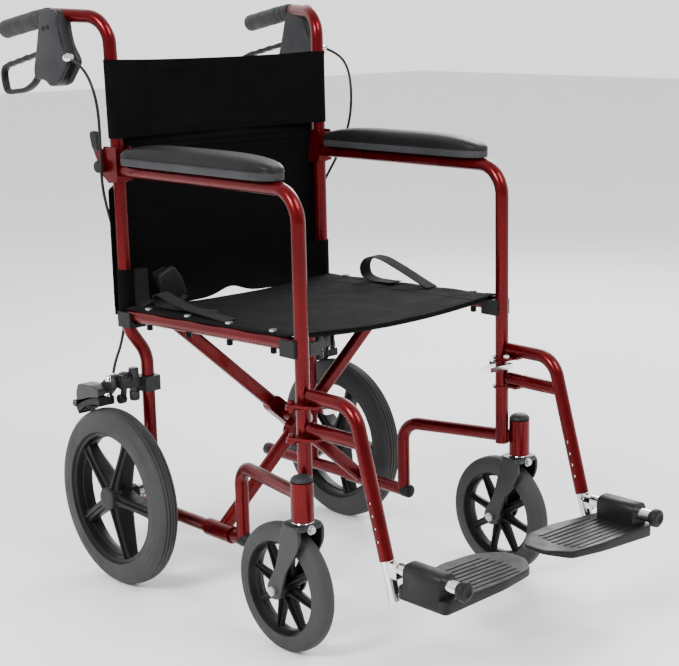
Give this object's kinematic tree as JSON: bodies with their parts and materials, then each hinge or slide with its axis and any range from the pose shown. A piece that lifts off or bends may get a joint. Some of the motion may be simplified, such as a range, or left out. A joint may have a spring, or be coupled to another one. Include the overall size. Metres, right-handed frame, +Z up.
{
  "type": "manual wheelchair",
  "caption": "Folding transport wheelchair with small rear wheels, swing-away leg rests, hand brakes on the push handles and a sling seat.",
  "frame": {"origin": "on the floor, at the centre of the box round the whole chair", "axes": "+Z up, -Y towards the footplates, +X towards the sitter's left"},
  "size_m": [0.5598, 1.0556, 0.9689],
  "materials": {
    "red_paint": "gloss",
    "black_paint": "satin",
    "chrome": "gloss",
    "zinc_steel": "satin",
    "black_plastic": "matte",
    "grey_plastic": "matte",
    "black_nylon": "matte",
    "seat_vinyl": "matte",
    "pad_vinyl": "satin",
    "webbing": "matte",
    "grip_rubber": "matte",
    "tyre_rubber": "matte"
  },
  "bodies": {
    "frame_right": {"arm_tube_right": "red_paint", "rear_post_right": "red_paint", "lower_frame_right": "red_paint", "arm_pad_right": "pad_vinyl", "seat_saddles_right": "black_plastic", "rear_axle_right": "zinc_steel", "brake_mount_right": "black_paint", "brake_cable_right": "black_plastic", "back_lower": "black_nylon"},
    "rear_wheel_right": {"rear_rim_right": "black_plastic", "rear_tyre_right": "tyre_rubber"},
    "caster_swivel_right": {"caster_fork_right": "black_paint", "caster_axle_right": "zinc_steel"},
    "caster_wheel_right": {"caster_rim_right": "black_plastic", "caster_tyre_right": "tyre_rubber"},
    "handle_right": {"push_cane_right": "red_paint", "hand_grip_right": "grip_rubber", "brake_housing_right": "grey_plastic", "back_upper": "black_nylon"},
    "brake_lever_right": {"brake_lever_right": "black_plastic"},
    "back_release_right": {"back_release_right": "black_plastic"},
    "brake_arm_right": {"brake_arm_right": "black_paint"},
    "leg_rest_right": {"hanger_right": "red_paint"},
    "latch_right": {"hanger_latch_right": "chrome"},
    "extension_right": {"leg_extension_right": "chrome"},
    "flip_axle_right": {"footplate_axle_right": "chrome"},
    "footplate_right": {"footplate_right": "black_plastic"},
    "frame_left": {"arm_tube_left": "red_paint", "rear_post_left": "red_paint", "lower_frame_left": "red_paint", "arm_pad_left": "pad_vinyl", "seat_saddles_left": "black_plastic", "rear_axle_left": "zinc_steel", "brake_mount_left": "black_paint", "brake_cable_left": "black_plastic"},
    "rear_wheel_left": {"rear_rim_left": "black_plastic", "rear_tyre_left": "tyre_rubber"},
    "caster_swivel_left": {"caster_fork_left": "black_paint", "caster_axle_left": "zinc_steel"},
    "caster_wheel_left": {"caster_rim_left": "black_plastic", "caster_tyre_left": "tyre_rubber"},
    "handle_left": {"push_cane_left": "red_paint", "hand_grip_left": "grip_rubber", "brake_housing_left": "grey_plastic"},
    "brake_lever_left": {"brake_lever_left": "black_plastic"},
    "back_release_left": {"back_release_left": "black_plastic"},
    "brake_arm_left": {"brake_arm_left": "black_paint"},
    "leg_rest_left": {"hanger_left": "red_paint"},
    "latch_left": {"hanger_latch_left": "chrome"},
    "extension_left": {"leg_extension_left": "chrome"},
    "flip_axle_left": {"footplate_axle_left": "chrome"},
    "footplate_left": {"footplate_left": "black_plastic"},
    "brace_front": {"cross_brace_front": "red_paint", "pivot_bolt": "zinc_steel", "seat_screws_left": "zinc_steel"},
    "brace_rear": {"cross_brace_rear": "red_paint", "seat_screws_right": "zinc_steel", "seat_sling": "seat_vinyl", "seat_belt": "webbing"}
  },
  "joints": [
    {"name": "fold", "type": "hinge", "parent": "frame_right", "child": "brace_front", "pos_m": [-0.181, 0.067, 0.118], "axis": [0, -1, 0], "range_deg": [0, 36], "deforming": ["seat_sling", "seat_belt", "back_lower", "back_upper"]},
    {"name": "brace_scissor", "type": "hinge", "parent": "brace_front", "child": "brace_rear", "pos_m": [0, 0.119, 0.27712], "axis": [0, -1, 0], "range_deg": [-72, 0]},
    {"name": "frame_left_swing", "type": "hinge", "parent": "brace_rear", "child": "frame_left", "pos_m": [0.181, 0.119, 0.118], "axis": [0, -1, 0], "range_deg": [0, 36]},
    {"name": "rear_wheel_spin_right", "type": "hinge", "parent": "frame_right", "child": "rear_wheel_right", "pos_m": [-0.2515, 0.257, 0.1525], "axis": [1, 0, 0], "continuous": true},
    {"name": "caster_turn_right", "type": "hinge", "parent": "frame_right", "child": "caster_swivel_right", "pos_m": [-0.24, -0.214, 0.24], "axis": [0, 0, 1], "continuous": true},
    {"name": "caster_spin_right", "type": "hinge", "parent": "caster_swivel_right", "child": "caster_wheel_right", "pos_m": [-0.24, -0.171, 0.1015], "axis": [1, 0, 0], "continuous": true},
    {"name": "back_fold_right", "type": "hinge", "parent": "frame_right", "child": "handle_right", "pos_m": [-0.217, 0.278, 0.709], "axis": [-1, 0, 0], "range_deg": [0, 125], "deforming": ["brake_cable_right"]},
    {"name": "release_press_right", "type": "hinge", "parent": "frame_right", "child": "back_release_right", "pos_m": [-0.217, 0.278, 0.709], "axis": [-1, 0, 0], "range_deg": [0, 16], "stiffness_Nm_per_rad": 1},
    {"name": "brake_pull_right", "type": "hinge", "parent": "handle_right", "child": "brake_lever_right", "pos_m": [-0.261, 0.399, 0.873], "axis": [1, 0, 0], "range_deg": [0, 20], "stiffness_Nm_per_rad": 2},
    {"name": "brake_press_right", "type": "hinge", "parent": "frame_right", "child": "brake_arm_right", "pos_m": [-0.242, 0.271, 0.348], "axis": [-1, 0, 0], "range_deg": [0, 2]},
    {"name": "leg_rest_swing_right", "type": "hinge", "parent": "frame_right", "child": "leg_rest_right", "pos_m": [-0.24, -0.195, 0.386], "axis": [0, 0, -1], "range_deg": [0, 95]},
    {"name": "latch_turn_right", "type": "hinge", "parent": "leg_rest_right", "child": "latch_right", "pos_m": [-0.196, -0.225, 0.38], "axis": [0, 0, -1], "range_deg": [0, 18], "stiffness_Nm_per_rad": 0.5},
    {"name": "extension_slide_right", "type": "slide", "parent": "leg_rest_right", "child": "extension_right", "axis": [0, -0.2823, -0.9593], "range_m": [0, 0.08]},
    {"name": "flip_axle_turn_right", "type": "hinge", "parent": "extension_right", "child": "flip_axle_right", "pos_m": [-0.214, -0.445, 0.181], "axis": [0, -1, 0], "range_deg": [0, 101]},
    {"name": "footplate_flip_right", "type": "hinge", "parent": "flip_axle_right", "child": "footplate_right", "pos_m": [-0.214, -0.445, 0.181], "axis": [0, -1, 0], "range_deg": [0, 90]},
    {"name": "rear_wheel_spin_left", "type": "hinge", "parent": "frame_left", "child": "rear_wheel_left", "pos_m": [0.2515, 0.257, 0.1525], "axis": [1, 0, 0], "continuous": true},
    {"name": "caster_turn_left", "type": "hinge", "parent": "frame_left", "child": "caster_swivel_left", "pos_m": [0.24, -0.214, 0.24], "axis": [0, 0, 1], "continuous": true},
    {"name": "caster_spin_left", "type": "hinge", "parent": "caster_swivel_left", "child": "caster_wheel_left", "pos_m": [0.24, -0.171, 0.1015], "axis": [1, 0, 0], "continuous": true},
    {"name": "back_fold_left", "type": "hinge", "parent": "frame_left", "child": "handle_left", "pos_m": [0.217, 0.278, 0.709], "axis": [-1, 0, 0], "range_deg": [0, 125], "deforming": ["brake_cable_left"]},
    {"name": "release_press_left", "type": "hinge", "parent": "frame_left", "child": "back_release_left", "pos_m": [0.217, 0.278, 0.709], "axis": [-1, 0, 0], "range_deg": [0, 16], "stiffness_Nm_per_rad": 1},
    {"name": "brake_pull_left", "type": "hinge", "parent": "handle_left", "child": "brake_lever_left", "pos_m": [0.261, 0.399, 0.873], "axis": [1, 0, 0], "range_deg": [0, 20], "stiffness_Nm_per_rad": 2},
    {"name": "brake_press_left", "type": "hinge", "parent": "frame_left", "child": "brake_arm_left", "pos_m": [0.242, 0.271, 0.348], "axis": [-1, 0, 0], "range_deg": [0, 2]},
    {"name": "leg_rest_swing_left", "type": "hinge", "parent": "frame_left", "child": "leg_rest_left", "pos_m": [0.24, -0.195, 0.386], "axis": [0, 0, 1], "range_deg": [0, 95]},
    {"name": "latch_turn_left", "type": "hinge", "parent": "leg_rest_left", "child": "latch_left", "pos_m": [0.196, -0.225, 0.38], "axis": [0, 0, 1], "range_deg": [0, 18], "stiffness_Nm_per_rad": 0.5},
    {"name": "extension_slide_left", "type": "slide", "parent": "leg_rest_left", "child": "extension_left", "axis": [0, -0.2823, -0.9593], "range_m": [0, 0.08]},
    {"name": "flip_axle_turn_left", "type": "hinge", "parent": "extension_left", "child": "flip_axle_left", "pos_m": [0.214, -0.445, 0.181], "axis": [0, 1, 0], "range_deg": [0, 101]},
    {"name": "footplate_flip_left", "type": "hinge", "parent": "flip_axle_left", "child": "footplate_left", "pos_m": [0.214, -0.445, 0.181], "axis": [0, 1, 0], "range_deg": [0, 90]}
  ],
  "couplings": [
    {"joint": "brace_scissor", "follows": "fold", "ratio": -2},
    {"joint": "frame_left_swing", "follows": "fold", "ratio": 1},
    {"joint": "brake_press_right", "follows": "brake_pull_right", "ratio": 0.1},
    {"joint": "flip_axle_turn_right", "follows": "fold", "ratio": 2.8},
    {"joint": "brake_press_left", "follows": "brake_pull_left", "ratio": 0.1},
    {"joint": "flip_axle_turn_left", "follows": "fold", "ratio": 2.8},
    {"joint": "back_fold_left", "follows": "back_fold_right", "ratio": 1}
  ]
}
